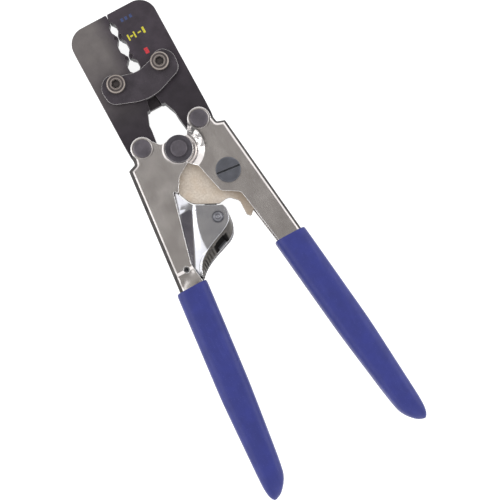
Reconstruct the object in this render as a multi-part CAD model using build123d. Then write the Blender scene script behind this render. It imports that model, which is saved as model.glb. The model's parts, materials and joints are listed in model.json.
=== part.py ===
from build123d import *
from math import atan2, cos, degrees, hypot, radians, sin, tan
import os

# Ratcheting hand crimper with compound leverage, drawn nearly closed.
# Millimetres.  The origin is on the handle pivot's axis, in the plane that the
# tool lies on.  +Y points to the jaw tips, +X to the right-hand handle, +Z up.

# ---- Handle channels: folded sheet steel, web on the outer side -------------
sheet = 2.0
channel_depth = 14.0
bend_radius = 2.5
web_outside_pin = 11.2
web_top_y = 2.0
handle_splay = 6.0
handle_lean = 0.5
tang_bend_y = -120.0
tang_splay = 3.5
tang_end_y = -168.0
tang_width = 12.8
tang_end_width = 9.2
pivot_ear_radius = 7.0
jaw_ear_radius = 5.8
joggle_radius = 11.5
joggle_rim_radius = 12.9
joggle_floor_radius = 8.2

# ---- Grips: dipped vinyl ----------------------------------------------------
grip_start_y = -63.5
grip_side_wall = 2.0
grip_face_wall = 1.5
grip_bevel = 2.4
grip_tip = 8.0

# ---- Pins and screws --------------------------------------------------------
jaw_pin_x = 16.0
jaw_pin_y = 8.7
link_screw_x = 12.3
link_screw_y = 43.0
pivot_shaft_radius = 3.4
pivot_head_radius = 4.3
pivot_washer_radius = 6.9
pivot_washer_height = 0.9
jaw_pin_radius = 3.0
jaw_pin_head_radius = 4.5
front_head_height = 1.6
rear_head_height = 1.4
link_shank_radius = 3.0
link_head_radius = 4.7
link_head_height = 2.8
hex_across_flats = 4.0
hex_depth = 1.9

# ---- Jaws and link plates ---------------------------------------------------
jaw_half_width = 23.2
jaw_tip_y = 76.9
jaw_corner_radius = 9.0
jaw_tail_radius = 6.4
jaw_tail_flare = 1.3
jaw_gap = 0.3
link_plate_thickness = 3.0
nests = [(68.8, 3.5, 8.2), (58.6, 4.8, 10.6), (47.8, 5.8, 9.6)]
relief_width = 5.2
relief_depth = 1.6

# ---- Ratchet ----------------------------------------------------------------
sector_screw_x = 16.6
sector_screw_y = -20.9
sector_shank_radius = 3.0
sector_head_radius = 6.35
sector_nut_radius = 5.6
sector_hub_radius = 7.6
slot_width = 1.1
slot_angle = -6.3
tooth_tip_radius = 21.5
tooth_depth = 1.3
tooth_pitch = 3.0
first_tooth = -140.0
last_tooth = -79.0
pawl_pin_x = 1.0
pawl_pin_y = -38.9
pawl_pin_radius = 1.6
pawl_pin_head_radius = 2.9
pawl_head_height = 1.2
pawl_lobe_radius = 3.9
pawl_nose_gap = 0.35
pawl_half_width = 3.2
spacer_wall = 0.5

# ---- Trigger ----------------------------------------------------------------
trigger_sheet = 1.5
trigger_pin_x = -25.2
trigger_pin_y = -54.9
trigger_pin_radius = 1.6
trigger_pin_bore = 0.9
trigger_lobe_radius = 4.2
trigger_front_edge = [(6.9, -37.0), (5.2, -42.6), (1.2, -45.6), (-4.5, -48.0), (-9.5, -50.2),
                      (-13.8, -52.8), (-17.2, -56.2), (-19.6, -61.4)]
trigger_rear_edge = [(6.9, -40.6), (5.6, -47.4), (2.2, -51.4), (-3.2, -53.8), (-8.8, -55.8),
                     (-13.6, -58.0), (-17.2, -60.4), (-20.4, -63.4)]

# ---- Springs ----------------------------------------------------------------
return_wire = 0.9
pawl_wire = 0.6
coil_spread = 1.15

# ---- Fits and clearances ----------------------------------------------------
running_fit = 0.05
open_pivot_clearance = 0.45
jaw_side_play = 0.2
plate_play = 0.1
trigger_side_play = 0.4
spring_gap = 0.2

# ---- Sizes that follow from others ------------------------------------------
web_top_x = jaw_pin_x + web_outside_pin

# ---- Heights that follow, measured from the tool's middle plane -------------
flange_top = channel_depth / 2
flange_low = flange_top - sheet
ear_top = flange_low - plate_play
ear_low = ear_top - sheet
jaw_half = flange_low - jaw_side_play
link_low = jaw_half + plate_play
link_top = link_low + link_plate_thickness
sector_top = ear_low - 3 * plate_play
trigger_top = flange_low - trigger_side_play
trigger_low = trigger_top - trigger_sheet
middle = flange_top + grip_face_wall


def slab(points, radii, low, high):
    """A plate of the given outline between two heights from the middle plane."""
    outline = FilletPolyline(*points, radius=radii, close=True)
    return extrude(Plane.XY.offset(middle + low) * make_face(outline), high - low)


def disc(x, y, radius, low, high):
    """A round bar standing on (x, y) between two heights from the middle plane."""
    place = Location((x, y, middle + low))
    return place * Cylinder(radius, high - low, align=(Align.CENTER, Align.CENTER, Align.MIN))


def turned(points):
    """A body of revolution about the pivot axis, from (radius, height) points."""
    lifted = [(radius, 0, middle + height) for radius, height in points]
    return revolve(make_face(Polyline(*lifted, close=True)), Axis.Z)


def to_left(shape):
    """The same shape on the left-hand side of the tool."""
    return mirror(shape, about=Plane.YZ)


def to_rear(shape):
    """The same shape on the back of the tool."""
    return mirror(shape, about=Plane.XY.offset(middle))


def both_faces(shape):
    return shape + to_rear(shape)


def edges_at(shape, height):
    """Edges that lie flat at one height from the middle plane."""
    found = ShapeList()
    for edge in shape.edges():
        if abs(edge.center().Z - middle - height) < 0.01 and edge.bounding_box().size.Z < 0.01:
            found.append(edge)
    return found


def polar(radius, angle):
    return (radius * cos(radians(angle)), radius * sin(radians(angle)))


# ---- Handle channels --------------------------------------------------------
def web_x(y, side):
    """Outer face of the channel's web at height y, measured outwards from the axis.

    Both handles are drawn on the right-hand side; side is 1 for the right handle
    and -1 for the left one, which lean the same way by handle_lean degrees.
    """
    lean = side * handle_lean
    straight = web_top_y - max(y, tang_bend_y)
    bent = max(0.0, tang_bend_y - y)
    splayed = straight * tan(radians(handle_splay + lean))
    return web_top_x + splayed + bent * tan(radians(tang_splay + lean))


def tang_inner_x(y, side):
    """Free edge of the channel inside the grip."""
    share = max(0.0, (tang_bend_y - y) / (tang_bend_y - tang_end_y))
    return web_x(y, side) - tang_width - share * (tang_end_width - tang_width)


def tang_outline(side):
    """The lower channel, from its bend round its end and up to the grip's mouth."""
    tip_y = tang_end_y
    return [
        (web_x(tang_bend_y, side), tang_bend_y),
        (web_x(tip_y, side), tip_y + 2.0),
        (web_x(tip_y, side) - 4.0, tip_y),
        (tang_inner_x(tip_y, side), tip_y + 5.0),
        (tang_inner_x(tang_bend_y, side), tang_bend_y),
        (tang_inner_x(grip_start_y, side), grip_start_y),
    ]


def handle_blank(inner_points, inner_radii, side):
    """The folded channel before its hollow is cut: flange outline, full depth."""
    upper = [
        (jaw_pin_x + jaw_ear_radius + 0.6, jaw_pin_y - 1.0),
        (web_top_x - 4.0, web_top_y + 1.4),
        (web_x(web_top_y, side), web_top_y),
    ]
    points = upper + tang_outline(side) + inner_points
    radii = [0.8, 0.8, 0.8, 0, 0, 3.0, 3.0, 0, 0] + inner_radii
    blank = slab(points, radii, -flange_top, flange_top)
    for height in (-flange_top, flange_top):
        bends = ShapeList()
        for edge in edges_at(blank, height):
            centre = edge.center()
            if edge.length > 20 and abs(centre.X - web_x(centre.Y, side)) < 0.2:
                bends.append(edge)
        blank = fillet(bends, bend_radius)
    return blank


def channel_hollow(side):
    """Everything inside the web and between the flanges, open to the inner side."""
    points = [
        (-60, 40),
        (web_x(40, side) - sheet, 40),
        (web_x(tang_bend_y, side) - sheet, tang_bend_y),
        (web_x(tang_end_y, side) - sheet, tang_end_y - 10),
        (-60, tang_end_y - 10),
    ]
    return slab(points, [0, 0, 0, 0, 0], -flange_low, flange_low)


def right_inner_edge():
    """Free edge of the right flange, from the grip up to the pivot ear."""
    points = [(18.5, -43.0), (17.0, -33.4), (8.4, -28.2), (4.6, -12.0), (0.5, -8.0)]
    return points, [4.0, 3.5, 2.5, 1.5, 0]


def left_inner_edge():
    """Free edge of the left flange as right-hand points, with its hooked cut-out."""
    points = [(22.0, -53.6), (12.7, -17.4), (10.8, -19.4), (9.2, -17.0), (6.4, -12.4), (-0.5, -8.2)]
    return points, [3.0, 0.5, 0.3, 1.0, 6.0, 0]


def right_handle():
    inner, radii = right_inner_edge()
    top = [(-1.0, pivot_ear_radius - 0.2), (6.9, 4.4), (11.0, 11.0), (jaw_pin_x - 3.0, jaw_pin_y + 4.6)]
    blank = handle_blank(inner + top, radii + [0, 1.0, 1.0, 0], 1)
    blank += disc(jaw_pin_x, jaw_pin_y, jaw_ear_radius, -flange_top, flange_top)
    blank += disc(0, 0, pivot_ear_radius, -flange_top, flange_top)
    slope = plate_play + sheet
    plate = [(0, ear_low), (joggle_radius - slope, ear_low), (joggle_radius, flange_low), (0, flange_low)]
    above = [
        (0, ear_top),
        (joggle_floor_radius, ear_top),
        (joggle_rim_radius, flange_top),
        (joggle_rim_radius, flange_top + 1),
        (0, flange_top + 1),
    ]
    handle = blank - (channel_hollow(1) - both_faces(turned(plate))) - both_faces(turned(above))
    handle -= disc(0, 0, pivot_shaft_radius + running_fit, -flange_top, flange_top)
    handle -= disc(jaw_pin_x, jaw_pin_y, jaw_pin_radius, -flange_top, flange_top)
    handle -= disc(sector_screw_x, sector_screw_y, sector_shank_radius, -flange_top, flange_top)
    return handle


def left_handle():
    inner, radii = left_inner_edge()
    top = [(-1.0, pivot_ear_radius - 0.2), (6.8, 5.6), (jaw_pin_x - 3.0, jaw_pin_y + 4.6)]
    blank = handle_blank(inner + top, radii + [0, 3.0, 0], -1)
    blank += disc(jaw_pin_x, jaw_pin_y, jaw_ear_radius, -flange_top, flange_top)
    blank += disc(0, 0, pivot_ear_radius, -flange_top, flange_top)
    handle = to_left(blank - channel_hollow(-1))
    handle -= disc(0, 0, pivot_shaft_radius, -flange_top, flange_top)
    handle -= disc(-jaw_pin_x, jaw_pin_y, jaw_pin_radius, -flange_top, flange_top)
    handle -= disc(trigger_pin_x, trigger_pin_y, trigger_pin_radius, -flange_top, flange_top)
    return handle


# ---- Grips ------------------------------------------------------------------
def is_below_mouth(edge):
    """Whether an edge lies down the grip, not across its mouth."""
    return edge.center().Y < grip_start_y - 1


def grip_outline(side):
    """Dipped skin round the channel, with a tip that slopes up to its inner edge."""
    wall = grip_side_wall
    tip_y = tang_end_y - grip_tip
    outer_x = web_x(tang_end_y, side) + wall
    inner_x = tang_inner_x(tang_end_y, side) - wall
    return [
        (web_x(grip_start_y, side) + wall, grip_start_y),
        (web_x(tang_bend_y, side) + wall, tang_bend_y),
        (outer_x, tip_y + 4.0),
        (outer_x - 0.9, tip_y + 1.0),
        (outer_x - 3.4, tip_y),
        (inner_x + 4.0, tip_y + 3.8),
        (inner_x, tip_y + 10.5),
        (tang_inner_x(tang_bend_y, side) - wall, tang_bend_y),
        (tang_inner_x(grip_start_y, side) - wall, grip_start_y),
    ]


def grip(inner, radii, side):
    """Dipped grip with bevelled edges, hollowed by the outside of its channel."""
    points = grip_outline(side)
    half = flange_top + grip_face_wall
    sleeve = slab(points, [0] * len(points), -half, half)
    rims = edges_at(sleeve, half) + edges_at(sleeve, -half)
    sleeve = chamfer(rims.filter_by(is_below_mouth), grip_bevel)
    top = [(0, 8.0), (jaw_pin_x, jaw_pin_y)]
    return sleeve - handle_blank(inner + top, radii + [0, 0], side)


def right_grip():
    inner, radii = right_inner_edge()
    return grip(inner, radii, 1)


def left_grip():
    inner, radii = right_inner_edge()
    return to_left(grip(inner, radii, -1))


# ---- Jaws -------------------------------------------------------------------
def nest(y, width, length):
    """One crimping nest: a six-sided eye through both jaws."""
    half = length / 2
    flat = length * 0.2
    points = [
        (0, y + half),
        (width / 2, y + flat),
        (width / 2, y - flat),
        (0, y - half),
        (-width / 2, y - flat),
        (-width / 2, y + flat),
    ]
    return slab(points, [0.2, 1.2, 1.2, 0.2, 1.2, 1.2], -jaw_half - 1, jaw_half + 1)


def relief(y):
    """Shallow diamond sunk in both faces at the flat between two nests."""
    half = relief_width / 2
    points = [(0, y + half), (half, y), (0, y - half), (-half, y)]
    sunk = slab(points, [0, 0.6, 0, 0.6], jaw_half - relief_depth, jaw_half + 1)
    return both_faces(sunk)


def jaw():
    """Right-hand jaw plate, without its pivot bores."""
    edge = jaw_gap / 2
    points = [
        (edge, jaw_tip_y),
        (jaw_half_width, jaw_tip_y),
        (jaw_half_width, jaw_pin_y + 6.0),
        (jaw_pin_x + jaw_tail_radius + jaw_tail_flare / 2, jaw_pin_y),
        (jaw_pin_x + jaw_tail_radius, jaw_pin_y - 5.0),
        (jaw_pin_x, jaw_pin_y - jaw_tail_radius + 0.6),
        (jaw_pin_x - jaw_tail_radius * 0.7, jaw_pin_y - jaw_tail_radius * 0.7),
        (jaw_pin_x - jaw_tail_radius - jaw_tail_flare, jaw_pin_y - 0.9),
        (7.4, 14.5),
        (7.3, 17.8),
        (4.9, 24.0),
        (edge + 3.2, 24.0),
        (edge + 0.1, link_screw_y),
    ]
    radii = [0.8, jaw_corner_radius, 6.0, 2.0, 2.0, 2.0, 1.0, 1.0, 2.0, 1.5, 0.4, 1.0, 1.0]
    plate = slab(points, radii, -jaw_half, jaw_half)
    plate += disc(jaw_pin_x, jaw_pin_y, jaw_tail_radius, -jaw_half, jaw_half)
    for y, width, length in nests:
        plate -= nest(y, width, length)
    for upper, lower in zip(nests, nests[1:]):
        plate -= relief((upper[0] - upper[2] / 2 + lower[0] + lower[2] / 2) / 2)
    plate -= disc(jaw_pin_x, jaw_pin_y, jaw_pin_radius + running_fit, -jaw_half, jaw_half)
    return plate


def left_jaw():
    bore = disc(link_screw_x, link_screw_y, link_shank_radius + running_fit, -jaw_half, jaw_half)
    return to_left(jaw() - bore)


def right_jaw():
    """The right jaw's link bore is the pivot that closes the linkage: it is loose."""
    loose = link_shank_radius + open_pivot_clearance
    return jaw() - disc(link_screw_x, link_screw_y, loose, -jaw_half, jaw_half)


# ---- Link plates and their screws -------------------------------------------
def link_top_edge():
    """Upper edge of a link plate: a lobe over each screw and a dip between them."""
    x, y = link_screw_x, link_screw_y
    half = [(0, y + 0.6), (x - 3.5, y + 3.0), (x + 3.0, y + 7.8), (x + 8.2, y + 0.5)]
    left = [(-px, py) for px, py in half[:0:-1]]
    return left + half, [6.0, 5.5, 3.0, 12.0, 3.0, 5.5, 6.0]


def link_plate(lower_points, lower_radii, low, high):
    points, radii = link_top_edge()
    plate = slab(points + lower_points, radii + lower_radii, low, high)
    for side in (-link_screw_x, link_screw_x):
        plate -= disc(side, link_screw_y, link_shank_radius, low, high)
    return plate


def front_link_plate():
    """Bean-shaped strap over the jaws."""
    x, y = link_screw_x, link_screw_y
    lower = [(x + 7.3, y - 8.0), (0, y - 15.2), (-x - 7.3, y - 8.0)]
    return link_plate(lower, [5.5, 24.0, 5.5], link_low, link_top)


def rear_link_plate():
    """Deeper strap behind the jaws, straight below, tapped for the two screws."""
    x, y = link_screw_x, link_screw_y
    lower = [(x + 7.3, y - 8.0), (9.5, y - 18.0), (-9.5, y - 18.0), (-x - 7.3, y - 8.0)]
    return link_plate(lower, [5.5, 3.0, 3.0, 5.5], -link_top, -link_low)


def link_screw(side):
    """Socket-head shoulder screw, seated on the front plate, tapped into the rear one."""
    x = side * link_screw_x
    head = disc(x, link_screw_y, link_head_radius, link_top, link_top + link_head_height)
    rim = head.edges().filter_by(GeomType.CIRCLE).sort_by(Axis.Z)[-1]
    screw = chamfer(rim, 0.6) + disc(x, link_screw_y, link_shank_radius, -link_top, link_top)
    socket = Plane((x, link_screw_y, middle + link_top + link_head_height))
    socket = socket * RegularPolygon(hex_across_flats / 2, 6, major_radius=False)
    return screw - extrude(socket, -hex_depth)


# ---- Pins -------------------------------------------------------------------
def headed_pin(x, y, radius, front_radius, rear_radius, seat=0.0):
    """Rivet through the channel: domed front head, flat rear head."""
    top = flange_top + seat
    front = disc(x, y, front_radius, top, top + front_head_height)
    rim = front.edges().filter_by(GeomType.CIRCLE).sort_by(Axis.Z)[-1]
    front = fillet(rim, front_head_height * 0.5)
    rear = disc(x, y, rear_radius, -flange_top - rear_head_height, -flange_top)
    return front + rear + disc(x, y, radius, -flange_top, top)


def jaw_pin(side):
    return headed_pin(side * jaw_pin_x, jaw_pin_y, jaw_pin_radius, jaw_pin_head_radius, jaw_pin_head_radius)


def handle_pivot_pin():
    """Main rivet; its rear head reaches the plane that the tool lies on."""
    pin = headed_pin(0, 0, pivot_shaft_radius, pivot_head_radius, pivot_washer_radius, pivot_washer_height)
    return pin + disc(0, 0, pivot_washer_radius, -middle, -flange_top)


def pivot_washer():
    ring = disc(0, 0, pivot_washer_radius, flange_top, flange_top + pivot_washer_height)
    return ring - disc(0, 0, pivot_shaft_radius, flange_top, flange_top + pivot_washer_height)


# ---- Ratchet sector ---------------------------------------------------------
def sector_bores(plate, low, high):
    plate -= disc(0, 0, pivot_shaft_radius + running_fit, low, high)
    return plate - disc(sector_screw_x, sector_screw_y, sector_shank_radius, low, high)


def sector_plate():
    """Cover plate of the ratchet, with a tail along the right handle."""
    points = [
        (-7.4, 1.5),
        (-9.6, -13.0),
        (-10.4, -19.8),
        (-7.4, -27.0),
        (4.9, -33.2),
        (10.4, -32.4),
        (14.6, -36.6),
        (14.4, -44.4),
        (15.9, -46.2),
        (18.9, -43.6),
        (21.8, -40.0),
        (22.4, -20.0),
        (7.4, 1.5),
    ]
    radii = [0, 8.0, 4.0, 8.0, 1.0, 4.0, 3.0, 0.5, 0.8, 1.0, 3.0, 5.0, 0]
    plate = slab(points, radii, 0, sector_top) + disc(0, 0, sector_hub_radius, 0, sector_top)
    return sector_bores(plate, 0, sector_top)


def ratchet_plate():
    """Toothed plate under the cover; its teeth run on a circle about the pivot."""
    points = [polar(sector_hub_radius - 0.6, last_tooth)]
    count = round((last_tooth - first_tooth) / tooth_pitch)
    for tooth in range(count):
        angle = last_tooth - tooth * tooth_pitch
        points.append(polar(tooth_tip_radius - tooth_depth, angle))
        points.append(polar(tooth_tip_radius, angle - tooth_pitch * 0.35))
        points.append(polar(tooth_tip_radius, angle - tooth_pitch * 0.5))
    points.append(polar(tooth_tip_radius - tooth_depth, first_tooth))
    points.append(polar(sector_hub_radius - 0.6, first_tooth))
    outline = make_face(Polyline(*points, close=True))
    toothed = extrude(Plane.XY.offset(middle - sector_top) * outline, sector_top)
    arm = [
        polar(sector_hub_radius - 0.6, last_tooth - 12),
        polar(tooth_tip_radius - tooth_depth - 2, last_tooth - 8),
        (sector_screw_x - 3.0, sector_screw_y - 5.0),
        (sector_screw_x + 5.0, sector_screw_y - 2.0),
        (sector_screw_x + 4.0, sector_screw_y + 5.0),
        polar(sector_hub_radius - 0.6, -10),
    ]
    plate = toothed + slab(arm, [0, 0, 3.0, 3.0, 3.0, 0], -sector_top, 0)
    plate += disc(0, 0, sector_hub_radius, -sector_top, 0)
    return sector_bores(plate, -sector_top, 0)


def adjuster_screw():
    """Large slotted screw that clamps the ratchet plates to the right handle."""
    x, y = sector_screw_x, sector_screw_y
    head = disc(x, y, sector_head_radius, flange_top, flange_top + front_head_height)
    rim = head.edges().filter_by(GeomType.CIRCLE).sort_by(Axis.Z)[-1]
    screw = chamfer(rim, 0.4) + disc(x, y, sector_shank_radius, -flange_top - rear_head_height, flange_top)
    slot_low = flange_top + front_head_height * 0.4
    low_side = (Align.CENTER, Align.CENTER, Align.MIN)
    slot = Box(2.2 * sector_head_radius, slot_width, front_head_height, align=low_side)
    return screw - Location((x, y, middle + slot_low), (0, 0, slot_angle)) * slot


def adjuster_nut():
    x, y = sector_screw_x, sector_screw_y
    nut = disc(x, y, sector_nut_radius, -flange_top - rear_head_height, -flange_top)
    return nut - disc(x, y, sector_shank_radius, -flange_top - rear_head_height, -flange_top)


def adjuster_spacers():
    """Two sleeves that hold the ratchet plates midway between the flanges."""
    x, y = sector_screw_x, sector_screw_y
    front = disc(x, y, sector_shank_radius + 1.8, sector_top, flange_low)
    front -= disc(x, y, sector_shank_radius, sector_top, flange_low)
    return Compound(children=[front, to_rear(front)])


# ---- Trigger ----------------------------------------------------------------
def ruled_block(rear_points, front_points):
    """Solid between one outline on the trigger's rear face and one on its front."""
    faces = []
    for points, height in ((rear_points, -trigger_top), (front_points, trigger_top)):
        faces.append(Plane.XY.offset(middle + height) * make_face(Polyline(*points, close=True)))
    return loft(faces, ruled=True)


def inset(points):
    """The finger edge moved inwards by about one sheet."""
    return [(x - trigger_sheet * 0.5, y + trigger_sheet * 1.15) for x, y in points]


def trigger():
    """Folded release lever: two flanges and a slanted finger web."""
    back = [
        (trigger_pin_x + 2.0, trigger_pin_y - trigger_lobe_radius),
        (trigger_pin_x - 3.4, trigger_pin_y + 1.0),
        (-19.4, -24.0),
        (-14.6, -17.0),
        (-11.4, -18.6),
        (-10.2, -22.8),
        (-7.2, -27.8),
        (4.8, -34.0),
    ]
    shell = ruled_block(trigger_rear_edge + back, trigger_front_edge + back)
    far = [(-34.0, -60.0), (-34.0, -10.0), (5.0, -10.0)]
    hollow = ruled_block(inset(trigger_rear_edge) + far, inset(trigger_front_edge) + far)
    band = Location((0, 0, middle)) * Box(200, 200, 2 * trigger_low)
    lever = shell - (hollow & band)
    lever -= disc(trigger_pin_x, trigger_pin_y, trigger_pin_radius + running_fit, -trigger_top, trigger_top)
    lever -= disc(pawl_pin_x, pawl_pin_y, pawl_pin_radius, -trigger_top, trigger_top)
    return lever


def trigger_pin():
    """Hollow spring pin, flush with the handle's flanges."""
    pin = disc(trigger_pin_x, trigger_pin_y, trigger_pin_radius, -flange_top, flange_top)
    return pin - disc(trigger_pin_x, trigger_pin_y, trigger_pin_bore, -flange_top, flange_top)


def pawl():
    """Dog that points at the handle pivot and drops between the teeth."""
    length = hypot(pawl_pin_x, pawl_pin_y)
    nose = length - tooth_tip_radius - pawl_nose_gap
    height = sector_top - plate_play
    half = [(nose, 0.25), (nose - 1.2, 1.0), (nose - 4.0, 2.3), (0, pawl_half_width)]
    local = half + [(along, -across) for along, across in half[::-1]]
    turn = degrees(atan2(-pawl_pin_y, -pawl_pin_x))
    points = []
    for along, across in local:
        ax, ay = polar(along, turn)
        bx, by = polar(across, turn + 90)
        points.append((pawl_pin_x + ax + bx, pawl_pin_y + ay + by))
    dog = extrude(Plane.XY.offset(middle - sector_top) * make_face(Polyline(*points, close=True)), height)
    dog += disc(pawl_pin_x, pawl_pin_y, pawl_lobe_radius, -sector_top, -plate_play)
    return dog - disc(pawl_pin_x, pawl_pin_y, pawl_pin_radius + running_fit, -sector_top, -plate_play)


def pawl_pin():
    """Rivet through the trigger's flanges, its front head low under the handle."""
    x, y = pawl_pin_x, pawl_pin_y
    pin = disc(x, y, pawl_pin_radius, -trigger_top, trigger_top)
    head = disc(x, y, pawl_pin_head_radius, trigger_top, trigger_top + pawl_head_height)
    return pin + head + to_rear(head)


def pawl_spacer():
    """Sleeve that keeps the pawl in line with the toothed plate."""
    x, y = pawl_pin_x, pawl_pin_y
    ring = disc(x, y, pawl_pin_radius + spacer_wall, 0, trigger_low)
    return ring - disc(x, y, pawl_pin_radius, 0, trigger_low)


def coil(x, y, radius, wire, room, centre):
    """Torsion coil standing at (x, y), with as many whole turns as the room holds."""
    pitch = wire * coil_spread
    turns = int((room - 2 * spring_gap - wire) / pitch)
    start_z = middle + centre - pitch * turns / 2
    path = Location((x, y, start_z)) * Helix(pitch, pitch * turns, radius)
    section = Plane(origin=path @ 0, z_dir=path % 0) * Circle(wire / 2)
    return sweep(section, path, is_frenet=True)


def trigger_spring():
    """Torsion spring round the trigger pin, between the trigger's flanges."""
    radius = trigger_pin_radius + running_fit + 0.35 + return_wire / 2
    return coil(trigger_pin_x, trigger_pin_y, radius, return_wire, 2 * trigger_low, 0)


def pawl_spring():
    """Light torsion spring on the pawl's spacer."""
    radius = pawl_pin_radius + spacer_wall + 0.3 + pawl_wire / 2
    return coil(pawl_pin_x, pawl_pin_y, radius, pawl_wire, trigger_low, trigger_low / 2)


def build():
    nodes = {
        "right_handle_frame": right_handle(),
        "left_handle_frame": left_handle(),
        "right_grip": right_grip(),
        "left_grip": left_grip(),
        "left_jaw": left_jaw(),
        "right_jaw": right_jaw(),
        "front_link_plate": front_link_plate(),
        "rear_link_plate": rear_link_plate(),
        "left_link_screw": link_screw(-1),
        "right_link_screw": link_screw(1),
        "left_jaw_pin": jaw_pin(-1),
        "right_jaw_pin": jaw_pin(1),
        "handle_pivot_pin": handle_pivot_pin(),
        "pivot_washer": pivot_washer(),
        "sector_plate": sector_plate(),
        "ratchet_plate": ratchet_plate(),
        "adjuster_screw": adjuster_screw(),
        "adjuster_nut": adjuster_nut(),
        "adjuster_spacers": adjuster_spacers(),
        "trigger": trigger(),
        "trigger_pin": trigger_pin(),
        "trigger_spring": trigger_spring(),
        "pawl": pawl(),
        "pawl_pin": pawl_pin(),
        "pawl_spacer": pawl_spacer(),
        "pawl_spring": pawl_spring(),
    }
    os.makedirs("parts", exist_ok=True)
    for name, shape in nodes.items():
        export_step(shape, f"parts/{name}.step")
        print(name, round(shape.volume, 1))


build()
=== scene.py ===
# %% [markdown]
# # Ratcheting hand crimper
# The tool lies flat with its jaw tips at +Y.  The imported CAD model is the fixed
# frame: it holds every size and every joint.  This notebook adds the finishes,
# and remodels the pieces whose real shape is softer or more detailed than a
# plain solid: the dipped grips, the folded trigger and its rivet.

# %% Load the frame
import json
import math

import bmesh
import bpy
from mathutils import Matrix, Vector


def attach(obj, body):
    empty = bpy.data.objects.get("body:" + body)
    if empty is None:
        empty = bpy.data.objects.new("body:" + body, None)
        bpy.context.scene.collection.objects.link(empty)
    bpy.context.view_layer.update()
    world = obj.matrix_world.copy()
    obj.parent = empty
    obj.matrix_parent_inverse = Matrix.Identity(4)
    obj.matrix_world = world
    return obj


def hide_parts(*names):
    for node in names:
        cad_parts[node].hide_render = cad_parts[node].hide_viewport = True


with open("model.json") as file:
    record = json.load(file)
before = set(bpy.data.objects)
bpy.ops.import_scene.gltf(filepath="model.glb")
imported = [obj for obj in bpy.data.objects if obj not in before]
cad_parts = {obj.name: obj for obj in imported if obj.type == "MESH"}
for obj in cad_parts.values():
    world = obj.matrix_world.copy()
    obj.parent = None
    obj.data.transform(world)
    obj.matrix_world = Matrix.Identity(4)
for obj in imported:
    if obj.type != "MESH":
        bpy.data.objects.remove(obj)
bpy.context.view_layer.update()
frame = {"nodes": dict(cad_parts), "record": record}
nodes = frame["nodes"]
MM = 0.001
MIDDLE = 8.5  # height of the tool's middle plane, in millimetres
JAW_PIN = (16.0, 8.7)  # where the right jaw pin stands; the left one mirrors it
LINK_SCREW = (12.3, 43.0)  # and the right link screw
PAWL_PIN = (1.0, -38.9)

# %% [markdown]
# ## Shader expressions
# Writing a node tree by hand hides the idea behind it.  A small class wraps one
# socket, so that sums and products are written as Python expressions, and one
# method makes any other node: first its settings, then what feeds its sockets.

# %% Socket wrapper
def connect(tree, value, target):
    """Links a wrapped socket, or sets a plain value."""
    if isinstance(value, Socket):
        tree.links.new(value.socket, target)
    else:
        target.default_value = value


class Socket:
    """One output socket of a node tree, with arithmetic that adds Math nodes."""

    def __init__(self, tree, socket):
        self.tree = tree
        self.socket = socket

    def math(self, operation, *others):
        node = self.tree.nodes.new("ShaderNodeMath")
        node.operation = operation
        for index, value in enumerate((self,) + others):
            connect(self.tree, value, node.inputs[index])
        return Socket(self.tree, node.outputs[0])

    def __add__(self, other):
        return self.math("ADD", other)

    def __sub__(self, other):
        return self.math("SUBTRACT", other)

    def __mul__(self, other):
        return self.math("MULTIPLY", other)

    def __rsub__(self, other):
        return (self * -1.0) + other

    __radd__ = __add__
    __rmul__ = __mul__

    def clamp(self):
        return self.math("MAXIMUM", 0.0).math("MINIMUM", 1.0)

    def band(self, low, high):
        """0 below low, 1 above high, straight between (high may be the smaller)."""
        return ((self - low) * (1.0 / (high - low))).clamp()

    def near(self, centre, reach):
        """1 within reach of centre, falling to 0 over a further fifth of it."""
        return (self - centre).math("ABSOLUTE").band(reach * 1.2, reach)


print("socket wrapper ready")

# %% [markdown]
# ## Finishes
# A finish is a material with one Principled shader.  Patterns are placed on
# object coordinates, in millimetres, so that they keep their real scale: the
# grain of a plated sheet is a fraction of a millimetre, its ripples are many.

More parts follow.
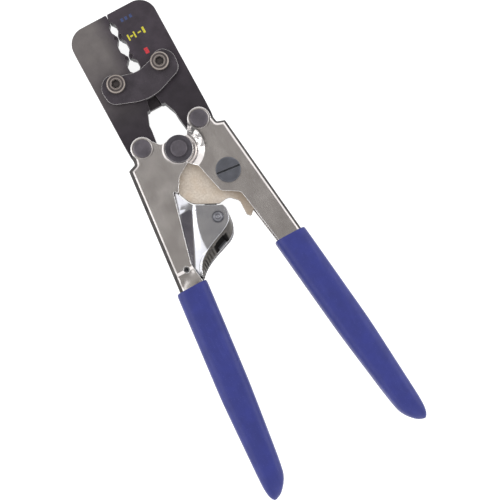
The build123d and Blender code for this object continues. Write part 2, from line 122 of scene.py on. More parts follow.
# %% Finish builder
class Tree:
    """Helpers to build one node tree, for a material or for the world."""

    def __init__(self, tree):
        self.tree = tree

    def node(self, kind, settings=None, output=0, **inputs):
        """Any node: its type, its settings, then values or links of its sockets."""
        made = self.tree.nodes.new(kind)
        for key, value in (settings or {}).items():
            setattr(made, key, value)
        for key, value in inputs.items():
            connect(self.tree, value, made.inputs[key.replace("_", " ")])
        return Socket(self.tree, made.outputs[output])

    def split(self, vector):
        made = self.tree.nodes.new("ShaderNodeSeparateXYZ")
        connect(self.tree, vector, made.inputs[0])
        return [Socket(self.tree, output) for output in made.outputs]

    def place(self, scale=(1, 1, 1)):
        """Object coordinates in millimetres, stretched; a small scale draws patterns out."""
        point = self.node("ShaderNodeTexCoord", output=3)
        return self.node("ShaderNodeMapping", Vector=point, Scale=[side / MM for side in scale])

    def axes(self):
        return self.split(self.place())

    def noise(self, size, detail=3.0, rough=0.5, where=None):
        """Smooth random values; size is the width of a blob in millimetres."""
        where = where or self.place()
        kind = "ShaderNodeTexNoise"
        return self.node(kind, Vector=where, Scale=1.0 / size, Detail=detail, Roughness=rough)

    def specks(self, size):
        """Distance from the nearest of many scattered points."""
        return self.node("ShaderNodeTexVoronoi", Vector=self.place(), Scale=1.0 / size)

    def mix(self, share, first, second):
        """Colour that goes from first to second as share goes from 0 to 1."""
        made = self.tree.nodes.new("ShaderNodeMix")
        made.data_type = "RGBA"
        connect(self.tree, share, made.inputs[0])
        connect(self.tree, with_alpha(first), made.inputs[6])
        connect(self.tree, with_alpha(second), made.inputs[7])
        return Socket(self.tree, made.outputs[2])

    def soft_edges(self, radius):
        """Surface direction as if each sharp edge were rounded by radius."""
        return self.node("ShaderNodeBevel", {"samples": 6}, Radius=radius * MM)

    def worn_and_highlit_edges(self, radius):
        """1 near sharp edges and 0 on open faces: the mask for edge wear and for painted edge highlights."""
        round_off = self.soft_edges(radius)
        true = self.node("ShaderNodeNewGeometry", output=1)
        same = self.node("ShaderNodeVectorMath", {"operation": "DOT_PRODUCT"}, output=1)
        made = same.socket.node
        connect(self.tree, round_off, made.inputs[0])
        connect(self.tree, true, made.inputs[1])
        return same.band(0.995, 0.86)

    def facing_up(self):
        """1 on faces that look straight up or down, 0 on upright ones."""
        return self.split(self.node("ShaderNodeNewGeometry", output=1))[2].math("ABSOLUTE")

    def recess(self, reach):
        """1 deep in slots, sockets and corners, 0 on open faces: the mask for painted shade."""
        open_sky = self.node("ShaderNodeAmbientOcclusion", {"samples": 8}, output=1, Distance=reach * MM)
        return open_sky.band(0.85, 0.35)

    def ring(self, centre_x, centre_y, radius, width):
        """1 on a ring about an upright axis, fading over its width."""
        x, y, z = self.axes()
        away_x = (x - centre_x).math("POWER", 2.0)
        away_y = (y - centre_y).math("POWER", 2.0)
        out = (away_x + away_y).math("SQRT")
        return (out - radius).math("ABSOLUTE").band(width, 0.0)

    def bump(self, height, depth, below=None):
        """Relief: height from 0 to 1 raises the surface by depth millimetres."""
        inputs = {"Height": height, "Strength": 1.0, "Distance": depth * MM}
        if below is not None:
            inputs["Normal"] = below
        return self.node("ShaderNodeBump", **inputs)


class Finish(Tree):
    """A named material and its Principled shader."""

    def __init__(self, name):
        self.material = bpy.data.materials.new(name)
        self.material.use_nodes = True
        super().__init__(self.material.node_tree)
        self.shader = self.tree.nodes["Principled BSDF"]

    def set(self, **inputs):
        for key, value in inputs.items():
            connect(self.tree, with_alpha(value), self.shader.inputs[key.replace("_", " ")])
        return self.material


def with_alpha(value):
    """Three numbers become a colour with full alpha; anything else is passed on."""
    if isinstance(value, tuple) and len(value) == 3:
        return value + (1.0,)
    return value


def tone(code):
    """A screen colour such as 85807a as the linear numbers that shaders use."""
    parts = [int(code[index:index + 2], 16) / 255 for index in (0, 2, 4)]
    return tuple(((part + 0.055) / 1.055) ** 2.4 for part in parts)


print("finish builder ready")

# %% [markdown]
# ## Camera, light and floor
# The tool is seen from almost straight above, turned so that its jaws point up
# and to the left.  A long lens keeps the handles parallel.

# %% Camera
def add_camera(target, roll, tilt, lean, distance, view_width):
    """Looks down at target; tilt and lean move the viewpoint down and left in the view."""
    up = Vector((math.sin(roll), math.cos(roll), 0.0))
    right = Vector((up.y, -up.x, 0.0))
    back = Vector((0, 0, 1)) - up * math.tan(tilt) - right * math.tan(lean)
    back.normalize()
    lens_right = up.cross(back).normalized()
    lens_up = back.cross(lens_right)
    turn = Matrix((lens_right, lens_up, back)).transposed()
    data = bpy.data.cameras.new("view")
    data.sensor_width = 36.0
    data.lens = data.sensor_width * distance / view_width
    camera = bpy.data.objects.new("view", data)
    camera.matrix_world = Matrix.Translation(target + back * distance) @ turn.to_4x4()
    bpy.context.scene.collection.objects.link(camera)
    bpy.context.scene.camera = camera
    return camera


camera = add_camera(
    target=Vector((7.3, -60.8, MIDDLE)) * MM,
    roll=math.radians(28.5),
    tilt=math.radians(4.5),
    lean=math.radians(0.5),
    distance=0.95,
    view_width=0.2494,
)
bpy.context.scene.view_settings.view_transform = "Standard"
print("camera lens", round(camera.data.lens, 1))

# %% [markdown]
# Polished metal shows what surrounds it, so the studio is part of its finish.
# The ceiling straight above is a mid grey, which flat plated faces mirror.  All
# round it is a white tent, which bends, domes and bevelled edges catch.  A white
# card on the left and a black one on the right, each a little off the zenith,
# give the trigger's crease its bright and its dark side.  The floor is plain
# white paper, lit from behind so that it stays pale inside the nests.

# %% Studio
def add_studio(ceiling, tent, black):
    world = bpy.data.worlds.new("studio")
    world.use_nodes = True
    sky = Tree(world.node_tree)
    direction = sky.node("ShaderNodeTexCoord", output=0)
    x, y, z = sky.split(direction)
    shade = sky.mix(z.band(0.95, 0.89), ceiling, tent)
    towards_left = x * (-0.27) + y * 0.22 + z * 0.937
    shade = sky.mix(towards_left.band(0.978, 0.988), shade, tent)
    towards_right = x * 0.38 + y * (-0.10) + z * 0.92
    shade = sky.mix(towards_right.band(0.968, 0.980), shade, black)
    background = world.node_tree.nodes["Background"]
    connect(world.node_tree, shade, background.inputs[0])
    background.inputs[1].default_value = 1.0
    bpy.context.scene.world = world


def add_floor():
    grid = bmesh.new()
    bmesh.ops.create_grid(grid, x_segments=1, y_segments=1, size=3.0)
    data = bpy.data.meshes.new("floor")
    grid.to_mesh(data)
    grid.free()
    floor = bpy.data.objects.new("floor", data)
    bpy.context.scene.collection.objects.link(floor)
    paper = Finish("floor_paper")
    fibres = paper.noise(0.6, detail=2.0)
    sheet = paper.mix(fibres, (0.42, 0.42, 0.42), (0.44, 0.44, 0.44))
    glow = dict(Emission_Color=(1.0, 1.0, 1.0), Emission_Strength=0.9)
    floor.data.materials.append(paper.set(Base_Color=sheet, Roughness=0.9, **glow))


def add_softbox(name, place, size, power, aim=(0.0, -0.06, 0.0)):
    data = bpy.data.lights.new(name, "AREA")
    data.shape = "RECTANGLE"
    data.size, data.size_y = size
    data.energy = power
    light = bpy.data.objects.new(name, data)
    light.location = place
    light.rotation_euler = (Vector(aim) - Vector(place)).to_track_quat("-Z", "Y").to_euler()
    bpy.context.scene.collection.objects.link(light)


add_studio(ceiling=(0.30, 0.29, 0.28), tent=(1.25, 1.25, 1.27), black=(0.10, 0.09, 0.10))
add_floor()
add_softbox("left_softbox", (-0.9, 0.3, 0.9), (0.7, 0.7), 5.0)
add_softbox("right_softbox", (0.9, -0.3, 0.8), (0.5, 0.9), 4.0)
print("studio lit")

# %% [markdown]
# ## Plated sheet
# The handles are folded from sheet steel with a bright plating that has dulled a
# little: the mirror image is soft, fine scuffs run down the handle, and the
# sheared edges carry a white painted highlight.  Scuffs are a noise stretched along
# the handle.  The long bends and upright walls are painted dark: painted shade.  A
# ring of dark streaks on the joggle round the pivot is a painted shadow.  The
# trigger is cooler and smoother; its finger web is rougher and painted dark khaki
# as painted shade.

# %% Plated finishes
def plated(name, light, dark, rough, ripple, edge):
    """Shared part of both platings; ripple and edge are millimetres."""
    finish = Finish(name)
    down = finish.place(scale=(1.0, 0.08, 1.0))
    scuffs = finish.noise(0.35, detail=4.0, rough=0.65, where=down)
    cloud = finish.noise(9.0, detail=3.0)
    grain = finish.noise(0.25, detail=2.0)
    edge_wear_and_highlight = finish.worn_and_highlit_edges(edge * 1.2)
    base = finish.mix(cloud.band(0.3, 0.7), dark, light)
    base = finish.mix(scuffs.band(0.60, 0.76) * 0.6, base, (0.95, 0.94, 0.92))
    # painted highlight: the edges are painted white, standing in for the white tent mirrored in a rounded edge
    base = finish.mix(edge_wear_and_highlight, base, (1.0, 1.0, 1.0))
    waves = finish.noise(14.0, detail=0.0)
    relief = finish.bump(waves, ripple, below=finish.soft_edges(edge))
    relief = finish.bump(scuffs * 0.7 + grain * 0.3, 0.005, below=relief)
    gloss = rough + scuffs * 0.14 + cloud * 0.06
    return finish, base, relief, gloss


def handle_plating():
    """The long bends and the web are painted dark as painted shade, and each pin sits in a pressed ring."""
    warm, warm_dark = (0.83, 0.79, 0.76), (0.69, 0.65, 0.63)
    finish, base, relief, gloss = plated("plated_sheet", warm, warm_dark, 0.10, 0.35, 0.32)
    facing = finish.facing_up()
    x, y, z = finish.axes()
    below_ears = y.band(16.0, 12.0) * x.math("ABSOLUTE").band(19.0, 21.0)
    # painted shade: below the ears the bends and upright walls are painted dark grey, mottled by a noise, and
    # made less metallic and rougher
    shade_noise = finish.noise(5.0, detail=5.0, rough=0.6)
    bent = finish.mix(shade_noise.band(0.35, 0.65), (0.05, 0.047, 0.047), (0.09, 0.085, 0.08))
    flat = finish.mix(shade_noise.band(0.35, 0.65), (0.13, 0.13, 0.135), (0.19, 0.19, 0.195))
    painted_wall_shade = finish.mix(facing.band(0.10, 0.02), bent, flat)
    left = x.band(1.0, -1.0)
    shaded_and_dull = (facing - 0.09 - left * 0.095).band(0.80, 0.74) * below_ears
    base = finish.mix(shaded_and_dull, base, painted_wall_shade)
    # painted shadow: dark streaks painted in a ring on the joggle to the upper right of the pivot
    streaks = finish.noise(2.2, detail=3.0, rough=0.6).band(0.36, 0.48)
    painted_ear_shadow = finish.ring(0.0, 0.0, 11.2, 3.6) * x.band(3.0, 6.0) * y.band(-6.5, -4.0)
    base = finish.mix((painted_ear_shadow * 1.6).clamp() * streaks * 0.95, base, (0.07, 0.068, 0.068))
    top = z.band(MIDDLE + 4.0, MIDDLE + 4.5)
    pressed = [(0.0, 0.0, 7.6, 0.16)]
    pressed += [(side * JAW_PIN[0], JAW_PIN[1], 5.1, 0.10) for side in (-1, 1)]
    for centre_x, centre_y, radius, height in pressed:
        relief = finish.bump(finish.ring(centre_x, centre_y, radius, 0.8) * top, height, below=relief)
    dents = finish.noise(7.0, detail=1.0) * y.band(-54.5, -56.0) * left
    relief = finish.bump(dents, 1.3, below=relief)
    finish.set(Base_Color=base, Metallic=1.0 - shaded_and_dull * 0.85, Normal=relief)
    return finish.set(Roughness=gloss + shaded_and_dull * 0.2, Specular_IOR_Level=0.0)


def trigger_plating():
    """Bright on the flanges; steep faces such as the finger web are rougher and painted dark khaki as painted
    shade, and the pocket and recesses are painted black as painted shade.
    """
    cool, cool_dark = (0.80, 0.80, 0.83), (0.66, 0.67, 0.72)
    finish, base, relief, gloss = plated("plated_trigger", cool, cool_dark, 0.05, 0.25, 0.25)
    # painted shade: steep faces, the finger web most of all, are painted dark khaki and made rougher
    shaded_and_dull = finish.facing_up().band(0.88, 0.70)
    shade_noise = finish.noise(1.2, detail=4.0, rough=0.7)
    khaki = finish.mix(shade_noise.band(0.3, 0.7), (0.022, 0.020, 0.017), (0.11, 0.095, 0.075))
    base = finish.mix(shaded_and_dull * 0.95, base, khaki)
    x, y, z = finish.axes()
    # painted shade: the pressed pocket and the recesses are painted black, and the pocket loses its metal
    painted_pocket_shade = x.near(-3.5, 4.0) * z.near(MIDDLE - 0.3, 2.3) * y.band(-43.0, -45.0)
    base = finish.mix((finish.recess(1.2) + painted_pocket_shade).clamp() * 0.95, base, (0.006, 0.006, 0.006))
    finish.set(Base_Color=base, Metallic=1.0 - painted_pocket_shade * 0.95, Normal=relief)
    return finish.set(Roughness=gloss + shaded_and_dull * 0.2, Specular_IOR_Level=0.0)


made = {"plated_sheet": handle_plating(), "plated_trigger": trigger_plating()}
print("plated finishes:", list(made))

# %% [markdown]
# ## Blackened steel
# Jaws, strap, screws and pins are oxide-black: almost no colour, a dull sheen,
# a fine tooth from the blasting before the bath, and corners rubbed to grey that
# also carry a painted highlight.  The socket screws are turned, which leaves two
# bright rings on each head.  Sockets and slots are painted black: painted shade.

# %% Blackened finishes
def blackened(name, base, rubbed_and_highlight, rough, tooth, depth, edge=0.25):
    """Oxide-black steel; tooth, depth and edge are millimetres."""
    finish = Finish(name)
    edge_wear_and_highlight = finish.worn_and_highlit_edges(edge)
    patch = finish.noise(6.0, detail=4.0, rough=0.6)
    grit = finish.noise(tooth, detail=3.0, rough=0.7)
    pores = finish.specks(tooth * 1.6).band(0.0, 0.7)
    shade = finish.mix(patch.band(0.3, 0.75), base, tuple(1.7 * part for part in base))
    shade = finish.mix(grit.band(0.66, 0.8) * 0.35, shade, rubbed_and_highlight)
    # rubbed edges: partly wear, partly a painted highlight along the edges
    shade = finish.mix(edge_wear_and_highlight * (0.45 + patch * 0.6), shade, rubbed_and_highlight)
    relief = finish.bump(grit * 0.6 + pores * 0.4, depth, below=finish.soft_edges(edge))
    gloss = rough + patch * 0.15 - edge_wear_and_highlight * 0.1
    return finish, shade, dict(Metallic=0.45, Roughness=gloss, Normal=relief)


for name, base, rubbed_and_highlight, rough, tooth, depth in (
    ("blackened_plate", tone("322d32"), tone("d6d2d0"), 0.36, 0.30, 0.012),
    ("blackened_screw", tone("3d3736"), tone("b3a89f"), 0.34, 0.22, 0.010),
    ("blackened_pin", tone("454146"), tone("c4c2c5"), 0.36, 0.60, 0.110),
    ("blackened_washer", tone("3c393e"), tone("cbcacc"), 0.30, 0.40, 0.040),
    ("grey_slotted_screw", tone("414247"), tone("93959a"), 0.42, 0.22, 0.008),
):
    edge = 0.45 if name == "blackened_plate" else 0.25
    finish, shade, rest = blackened(name, base, rubbed_and_highlight, rough, tooth, depth, edge)
    if name == "blackened_plate":
        # painted light: the low parts of the plate, deep between the jaws, are painted a paler grey against
        # their shade
        shade = finish.mix(finish.axes()[2].band(4.5, 3.5) * 0.6, shade, tone("6c6669"))
    if name == "grey_slotted_screw":
        # painted shade: the slot is painted near-black
        shade = finish.mix(finish.recess(1.2), shade, (0.003, 0.003, 0.003))
    if name == "blackened_screw":
        # painted shade: the sockets are painted near-black
        shade = finish.mix(finish.recess(1.5) * 0.9, shade, (0.004, 0.004, 0.004))
        for side in (-1, 1):
            for radius, width, strength in ((4.3, 0.45, 0.8), (2.7, 0.35, 0.6)):
                turned = finish.ring(side * LINK_SCREW[0], LINK_SCREW[1], radius, width)
                shade = finish.mix(turned * strength, shade, rubbed_and_highlight)
    made[name] = finish.set(Base_Color=shade, **rest)
print("blackened finishes:", len(made) - 2)

# %% [markdown]
# The jaws share one finish.  The left jaw's upper half carries a paler painted
# sheen, a painted reflection, and the right jaw carries small dabs of paint that
# tell its nests apart.  Plain bars and dots stand there: one pattern of masks on
# object coordinates.

# %% Jaw finish with paint dabs
finish, shade, rest = blackened("blackened_jaw", tone("312b31"), tone("807b79"), 0.36, 0.28, 0.012)
x, y, z = finish.axes()
smear = finish.noise(5.0, detail=3.0)
# painted reflection: a paler grey sheen painted on the left jaw's upper half
painted_sheen = x.band(-1.0, -9.0) * y.band(18.0, 62.0) * (0.55 + smear * 0.5)
shade = finish.mix(painted_sheen.clamp() * 0.85, shade, tone("736e6b"))
shade = finish.mix(y.band(38.0, 26.0) * 0.55, shade, tone("1c181c"))
top_face = z.band(MIDDLE + 4.6, MIDDLE + 4.75)
chips = finish.noise(0.7, detail=2.0).band(0.30, 0.42)


def dab(shade, paint, centre_x, centre_y, half_wide, half_high):
    """One painted patch on the top face, with chipped edges."""
    inside = x.near(centre_x, half_wide) * y.near(centre_y, half_high)
    return finish.mix(inside * top_face * chips, shade, paint)


yellow = tone("c9c13a")
bars = ((4.6, 0.35, 1.5), (6.3, 0.7, 0.4), (8.0, 0.35, 1.5), (10.6, 0.8, 0.35), (13.0, 0.5, 1.5))
for centre_x, half_wide, half_high in bars:
    shade = dab(shade, yellow, centre_x, 61.5, half_wide, half_high)
shade = dab(shade, tone("c2373f"), 9.4, 51.5, 0.9, 1.4)
for centre_x in (5.8, 8.0, 10.6):
    shade = dab(shade, tone("3b486f"), centre_x, 70.9, 0.6, 0.8)
made["blackened_jaw"] = finish.set(Base_Color=shade, **rest)
print("jaw finish made")

# %% [markdown]
# ## Ratchet steel, springs and vinyl
# The sector is a tan, passivated stamping with a fine orange mottle.  The teeth
# and pawl are bare hardened steel.  The grips are dipped vinyl: a deep blue with
# a satin skin, slightly uneven where the dip ran down.

# %% Sector, steel and vinyl finishes
def tan_sector():
    """Tan passivation: mottled, darker along the tail, with a pale rim that is partly rubbed wear and partly
    painted highlight, and painted shade on its upright sides.
    """
    finish = Finish("tan_sector")
    mottle = finish.noise(0.9, detail=5.0, rough=0.7)
    cloud = finish.noise(5.0, detail=2.0)
    dots = finish.specks(0.5).band(0.05, 0.5)
    edge_wear_and_highlight = finish.worn_and_highlit_edges(0.3)
    shade = finish.mix(mottle.band(0.35, 0.7), tone("aea193"), tone("ccc3b6"))
    shade = finish.mix(cloud.band(0.4, 0.7) * 0.5, shade, tone("b5a48f"))
    shade = finish.mix((1.0 - dots) * 0.35, shade, tone("8f7d6b"))
    x, y, z = finish.axes()
    handled = x.band(9.0, 15.0) * (0.25 + mottle * 0.4)
    shade = finish.mix(handled.clamp(), shade, tone("85735f"))
    # the rim is painted pale: partly wear, partly a painted highlight
    shade = finish.mix(edge_wear_and_highlight, shade, tone("efe8de"))
    # painted shade: the upright sides of the stamping are painted dark brown
    shade = finish.mix(finish.facing_up().band(0.7, 0.4), shade, tone("4a3e34"))
    relief = finish.bump(mottle, 0.02, below=finish.soft_edges(0.3))
    return finish.set(Base_Color=shade, Metallic=0.15, Roughness=0.42 + mottle * 0.15, Normal=relief)


def bare_steel(name, light, dark, rough):
    """Uncoated steel with fine cuts, darker where it turns away from the light."""
    finish = Finish(name)
    cut = finish.noise(0.2, detail=4.0, rough=0.6, where=finish.place(scale=(1.0, 1.0, 0.2)))
    stain = finish.noise(3.0, detail=3.0)
    shade = finish.mix(stain.band(0.35, 0.75), light, dark)
    shade = finish.mix(finish.facing_up().band(0.97, 0.88) * 0.8, shade, (0.04, 0.04, 0.045))
    relief = finish.bump(cut, 0.006, below=finish.soft_edges(0.15))
    return finish.set(Base_Color=shade, Metallic=0.95, Roughness=rough + cut * 0.2, Normal=relief)


def blue_vinyl():
    """Dipped vinyl with runs down the handle, a fine skin and a little dust."""
    finish = Finish("blue_vinyl")
    down = finish.place(scale=(1.0, 0.15, 1.0))
    runs = finish.noise(2.2, detail=3.0, where=down)
    cloud = finish.noise(7.0, detail=4.0, rough=0.6)
    skin = finish.noise(0.35, detail=2.0)
    dust = finish.specks(1.1).band(0.10, 0.16)
    shade = finish.mix(cloud.band(0.3, 0.7), tone("242b72"), tone("1d2466"))
    shade = finish.mix(runs.band(0.55, 0.8) * 0.35, shade, tone("32397e"))
    shade = finish.mix((1.0 - dust) * 0.25, shade, tone("565ca0"))
    relief = finish.bump(runs, 0.08)
    relief = finish.bump(skin * 0.6 + cloud * 0.4, 0.03, below=relief)
    gloss = 0.42 + cloud * 0.18
    return finish.set(Base_Color=shade, Roughness=gloss, Normal=relief, IOR=1.45)


made["tan_sector"] = tan_sector()
made["blue_vinyl"] = blue_vinyl()
for name, light, dark, rough in (
    ("hardened_tooth_steel", (0.42, 0.41, 0.40), (0.26, 0.25, 0.25), 0.28),
    ("plain_steel", (0.60, 0.59, 0.57), (0.42, 0.41, 0.40), 0.25),
    ("spring_pin_steel", (0.22, 0.21, 0.20), (0.12, 0.12, 0.12), 0.30),
    ("spring_wire", (0.50, 0.49, 0.47), (0.34, 0.33, 0.32), 0.22),
    ("rivet_steel", (0.30, 0.30, 0.32), (0.15, 0.15, 0.17), 0.30),
):
    made[name] = bare_steel(name, light, dark, rough)
print("finishes:", len(made))

# %% Finishes onto the CAD nodes
slot_of = {part["node"]: part["material_slot"] for part in frame["record"]["subparts"]}
for name, node in nodes.items():
    node.data.materials.clear()
    node.data.materials.append(made[slot_of[name]])
print("slots used:", sorted(set(slot_of.values())))

# %% [markdown]
# ## Making a piece
# Each new piece is worked in millimetres and scaled to metres at the end.  It
# rides on a CAD body, takes a slot's finish, and stands for the node it hides.

# %% Piece helpers
def add_piece(name, work, body, slot, replaced, sharp=40.0):
    """Turns a finished bmesh in millimetres into a piece of the tool."""
    bmesh.ops.scale(work, vec=(MM, MM, MM), verts=work.verts)
    data = bpy.data.meshes.new(name)
    work.to_mesh(data)
    work.free()
    data.shade_smooth()
    data.set_sharp_from_angle(angle=math.radians(sharp))
    piece = bpy.data.objects.new(name, data)
    bpy.context.scene.collection.objects.link(piece)
    data.materials.append(made[slot])
    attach(piece, body)
    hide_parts(*replaced)
    print(name, len(data.polygons), "faces")
    return piece


def share_of(value, low, high):
    """How far value has gone from low to high, between 0 and 1 (low may be larger)."""
    return min(1.0, max(0.0, (value - low) / (high - low)))


def spun(profile, x, y):
    """A turned part: a profile of (radius, height) points spun about its axis."""
    work = bmesh.new()
    points = [work.verts.new((x + radius, y, height)) for radius, height in profile]
    edges = [work.edges.new(pair) for pair in zip(points, points[1:])]
    axis = dict(axis=(0, 0, 1), cent=(x, y, 0), angle=math.tau, steps=48, use_merge=True)
    bmesh.ops.spin(work, geom=points + edges, **axis)
    bmesh.ops.remove_doubles(work, verts=work.verts, dist=0.001)
    bmesh.ops.recalc_face_normals(work, faces=work.faces)
    return work


# %% [markdown]
# ## Dipped grips
# A grip is vinyl that ran down a hot handle and set.  Its section is a soft
# rectangle, its mouth a rounded lip, and its tip slopes up to the inner edge.
# One ring of points is drawn out station by station along the handle.  Each ring
# runs from a point on the outer line to one on the inner line.

# %% Grip lines
BEND_Y, END_Y, MOUTH_Y = -120.0, -168.0, -63.5


def outer_x(y, side):
    """Outer face of the vinyl; side is 1 for the right handle, -1 for the left."""
    splayed = (2.0 - max(y, BEND_Y)) * math.tan(math.radians(6.0 + 0.5 * side))
    bent = max(0.0, BEND_Y - y) * math.tan(math.radians(3.5 + 0.5 * side))
    return 29.2 + splayed + bent


def inner_x(y, side):
    return outer_x(y, side) - 16.8 + 3.6 * share_of(-y, -BEND_Y, -END_Y)


def grip_stations(side):
    """(outer point, inner point, half height) from the lip down to the tip."""
    end_out, end_in = outer_x(END_Y, side), inner_x(END_Y, side)
    rows = []
    for y, shrink in ((-63.5, 0.55), (-63.7, 0.25), (-64.3, 0.05), (-66.0, 0.0)):
        rows.append(((outer_x(y, side) - shrink, y), (inner_x(y, side) + shrink, y), 8.45 - shrink))
    for step in range(1, 11):
        y = -66.0 - 9.2 * step
        rows.append(((outer_x(y, side), y), (inner_x(y, side), y + 0.25 * step), 8.45 - 0.02 * step))
    rows.append(((end_out - 0.1, -167.0), (end_in, -163.6), 8.0))
    rows.append(((end_out - 0.3, -170.8), (end_in + 1.0, -167.2), 7.3))
    rows.append(((end_out - 0.9, -173.6), (end_in + 3.0, -170.4), 6.0))
    rows.append(((end_out - 1.9, -175.2), (end_in + 5.2, -172.9), 4.2))
    rows.append(((end_out - 2.9, -175.9), (end_in + 7.0, -174.5), 2.0))
    return rows


print("grip stations:", len(grip_stations(1)))


# %% Grip shape
def soft_ring(verts, turn, start, end, half_height, square):
    """Places one ring as a soft rectangle whose width runs from start to end."""
    for vert in verts:
        across, up = math.cos(vert[turn]), math.sin(vert[turn])
        across = math.copysign(abs(across) ** (2 / square), across)
        up = math.copysign(abs(up) ** (2 / square), up)
        share = 0.5 - 0.5 * across
        vert.co.x = start[0] + share * (end[0] - start[0])
        vert.co.y = start[1] + share * (end[1] - start[1])
        vert.co.z = MIDDLE + up * half_height


def draw_out(work, edges):
    """Extrudes a ring of edges and returns the new ring."""
    grown = bmesh.ops.extrude_edge_only(work, edges=edges)["geom"]
    new_edges = [item for item in grown if isinstance(item, bmesh.types.BMEdge)]
    new_verts = [item for item in grown if isinstance(item, bmesh.types.BMVert)]
    ring = [edge for edge in new_edges if all(vert in new_verts for vert in edge.verts)]
    return new_verts, ring


def grip_mesh(side):
    work = bmesh.new()
    turn = work.verts.layers.float.new("turn")
    first = bmesh.ops.create_circle(work, segments=32, radius=1.0)["verts"]
    for vert in first:
        vert[turn] = math.atan2(vert.co.y, vert.co.x)
    rows = grip_stations(side)
    lip = work.edges[:]
    soft_ring(first, turn, *rows[0], square=4.0)
    ring = lip
    for row in rows[1:]:
        verts, ring = draw_out(work, ring)
        soft_ring(verts, turn, *row, square=4.0)
    bmesh.ops.contextual_create(work, geom=ring)
    wall_out, wall_in = outer_x(MOUTH_Y, side) - 2.0, inner_x(MOUTH_Y, side) + 2.0
    ring = lip
    for y in (MOUTH_Y, MOUTH_Y - 3.0):
        verts, ring = draw_out(work, ring)
        soft_ring(verts, turn, (wall_out, y), (wall_in, y), 7.0, square=9.0)
    bmesh.ops.contextual_create(work, geom=ring)
    if side < 0:
        bmesh.ops.scale(work, vec=(-1, 1, 1), verts=work.verts)
    bmesh.ops.recalc_face_normals(work, faces=work.faces)
    return work


for label, side in (("right", 1), ("left", -1)):
    skin, body, grip = f"{label}_grip_skin", f"{label}_handle", f"{label}_grip"
    piece = add_piece(skin, grip_mesh(side), body, "blue_vinyl", [grip], sharp=80.0)
    smooth = piece.modifiers.new("smooth", "SUBSURF")
    smooth.levels = smooth.render_levels = 2

# %% [markdown]
# ## Folded trigger
# The trigger is one blank of sheet folded into a channel: two flanges, and a
# finger web that slants from the front flange back to the rear one.  A pressed
# crease stiffens the front flange.  The web has a pressed pocket and a run of
# ribs.  Each flange starts as one flat face, is cut into a fine net with
# bisecting planes so that it can be dished, and is drawn down by one sheet.

# %% Trigger lines
SHEET, FLANGE_TOP = 1.5, 4.6
UNDERSIDE_ROOM = 0.4  # how far the flange may be pressed down before it would rub the sector
front_edge = [(6.9, -37.0), (5.2, -42.6), (1.2, -45.6), (-4.5, -48.0), (-9.5, -50.2),
              (-13.8, -52.8), (-17.2, -56.2), (-19.6, -61.4)]
rear_edge = [(6.9, -40.6), (5.6, -47.4), (2.2, -51.4), (-3.2, -53.8), (-8.8, -55.8),
             (-13.6, -58.0), (-17.2, -60.4), (-20.4, -63.4)]
back_edge = [(-23.2, -59.1), (-28.6, -53.9), (-19.4, -24.0), (-14.6, -17.0), (-11.4, -18.6),
             (-10.2, -22.8), (-7.2, -27.8), (3.6, -33.6), (6.0, -34.6)]
NET = 0.7  # spacing of the net that lets a flange be dished
RIB_HEIGHT, POCKET_DEPTH, WEB_THICKNESS = 0.65, 1.0, 1.2


def through(points, share):
    """A smooth curve through points; share runs from 0 to 1 along it."""
    place = share * (len(points) - 1)
    step = min(int(place), len(points) - 2)
    t = place - step
    near = [Vector(points[min(max(step + k, 0), len(points) - 1)]) for k in (-1, 0, 1, 2)]
    a, b, c, d = near
    return 0.5 * (2 * b + (c - a) * t + (2 * a - 5 * b + 4 * c - d) * t * t + (3 * b - a - 3 * c + d) * t ** 3)


def crease(x, y):
    """Height of the pressed crease at a point of the front flange."""
    top, bottom = Vector((-6.6, -27.4)), Vector((-19.3, -52.3))
    line = (bottom - top).normalized()
    offset = Vector((x, y)) - top
    along = share_of(offset.dot(line), 0.0, (bottom - top).length)
    aside = offset.dot(Vector((-line.y, line.x)))
    depth = (0.75 + 0.6 * along) * share_of(offset.dot(line), -1.0, 3.0)
    if aside > 0:
        return -depth * (1.0 - share_of(aside, 0.0, 0.3 + 9.5 * along ** 2.2)) ** 1.3
    corner = -0.09 * max(0.0, y + 27.6) + 0.11 * min(0.0, x + 8.5) * share_of(y, -28.6, -27.6)
    return corner - depth * (1.0 - share_of(-aside, 0.0, 6.5))


print("front edge starts", through(front_edge, 0.0), "ends", through(front_edge, 1.0))


# %% Trigger shape
def flange(work, edge, height, thickness, relief):
    """One flange: flat face, netted by bisecting planes, dished, then given its sheet."""
    rounded = [through(edge, step / 24) for step in range(25)]
    corners = [work.verts.new((point.x, point.y, height)) for point in rounded]
    corners += [work.verts.new((x, y, height)) for x, y in back_edge]
    face = work.faces.new(corners)
    part = [face] + list(face.edges) + list(face.verts)
    for axis, low, high in ((0, -28.0, 7.0), (1, -63.0, -17.0)):
        for step in range(int((high - low) / NET)):
            place, normal = [0, 0, 0], [0, 0, 0]
            place[axis], normal[axis] = low + NET * step, 1
            cut = bmesh.ops.bisect_plane(work, geom=part, plane_co=place, plane_no=normal)
            part = cut["geom"]
    faces = [item for item in part if isinstance(item, bmesh.types.BMFace)]
    drawn = bmesh.ops.extrude_face_region(work, geom=faces)["geom"]
    lower = [item for item in drawn if isinstance(item, bmesh.types.BMVert)]
    bmesh.ops.translate(work, vec=(0, 0, thickness), verts=lower)
    if relief:
        for vert in {vert for item in faces for vert in item.verts}:
            vert.co.z += relief(vert.co.x, vert.co.y)
        for vert in lower:
            vert.co.z += max(relief(vert.co.x, vert.co.y), -UNDERSIDE_ROOM)
    return work


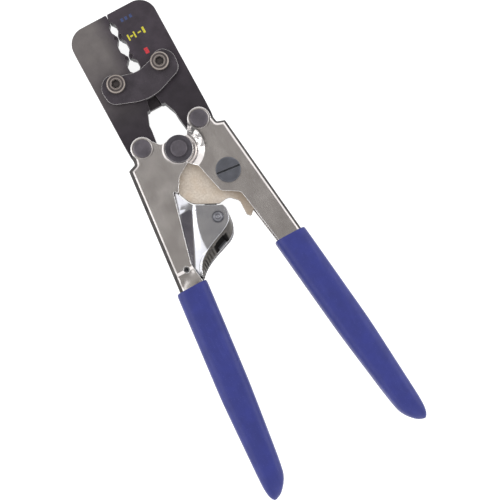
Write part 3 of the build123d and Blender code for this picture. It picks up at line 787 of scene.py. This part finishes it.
def web(work):
    """The finger web: a net between the two edges, with a pressed pocket and ribs."""
    columns, rows = 72, 10
    made_net = bmesh.ops.create_grid(work, x_segments=columns, y_segments=rows, size=1.0)["verts"]
    place = {vert: ((vert.co.x + 1) / 2, (vert.co.y + 1) / 2) for vert in made_net}
    for vert, (along, across) in place.items():
        front, rear = through(front_edge, along), through(rear_edge, along)
        point = front.lerp(rear, across)
        vert.co = (point.x, point.y, MIDDLE + FLANGE_TOP * (1 - 2 * across))
    work.faces.index_update()
    faces = sorted({face for vert in made_net for face in vert.link_faces}, key=lambda face: face.index)
    bmesh.ops.recalc_face_normals(work, faces=faces)
    if sum(face.normal.y for face in faces) > 0:
        bmesh.ops.reverse_faces(work, faces=faces)
    work.normal_update()
    for vert, (along, across) in place.items():
        column = round(along * columns)
        if 0.54 < along < 0.95 and 0.12 < across < 0.88 and column % 4 < 2:
            vert.co += vert.normal * RIB_HEIGHT
        if 0.35 < along < 0.50 and 0.28 < across < 0.72:
            vert.co -= vert.normal * POCKET_DEPTH
    bmesh.ops.solidify(work, geom=faces, thickness=WEB_THICKNESS)


trigger_work = bmesh.new()
flange(trigger_work, front_edge, MIDDLE + FLANGE_TOP, -SHEET, crease)
flange(trigger_work, rear_edge, MIDDLE - FLANGE_TOP, SHEET, None)
bmesh.ops.recalc_face_normals(trigger_work, faces=trigger_work.faces)
web(trigger_work)
add_piece("trigger_lever", trigger_work, "trigger", "plated_trigger", ["trigger"], sharp=35.0)

# %% [markdown]
# ## Trigger rivet
# The pawl's rivet is spun over on the front flange, which leaves a rolled rim
# round a shallow dimple.  Its profile is turned about the rivet's axis.

# %% Rivet
rivet_profile = [(0, 13.7), (0.8, 13.72), (1.15, 13.95), (1.6, 14.22), (2.1, 14.28), (2.6, 14.0),
                 (2.88, 13.5), (2.9, 13.05), (1.6, 13.05), (1.6, 3.95), (2.9, 3.95), (2.8, 3.0),
                 (2.3, 2.72), (0, 2.72)]
add_piece("pawl_rivet", spun(rivet_profile, *PAWL_PIN), "trigger", "rivet_steel", ["pawl_pin"], sharp=50.0)
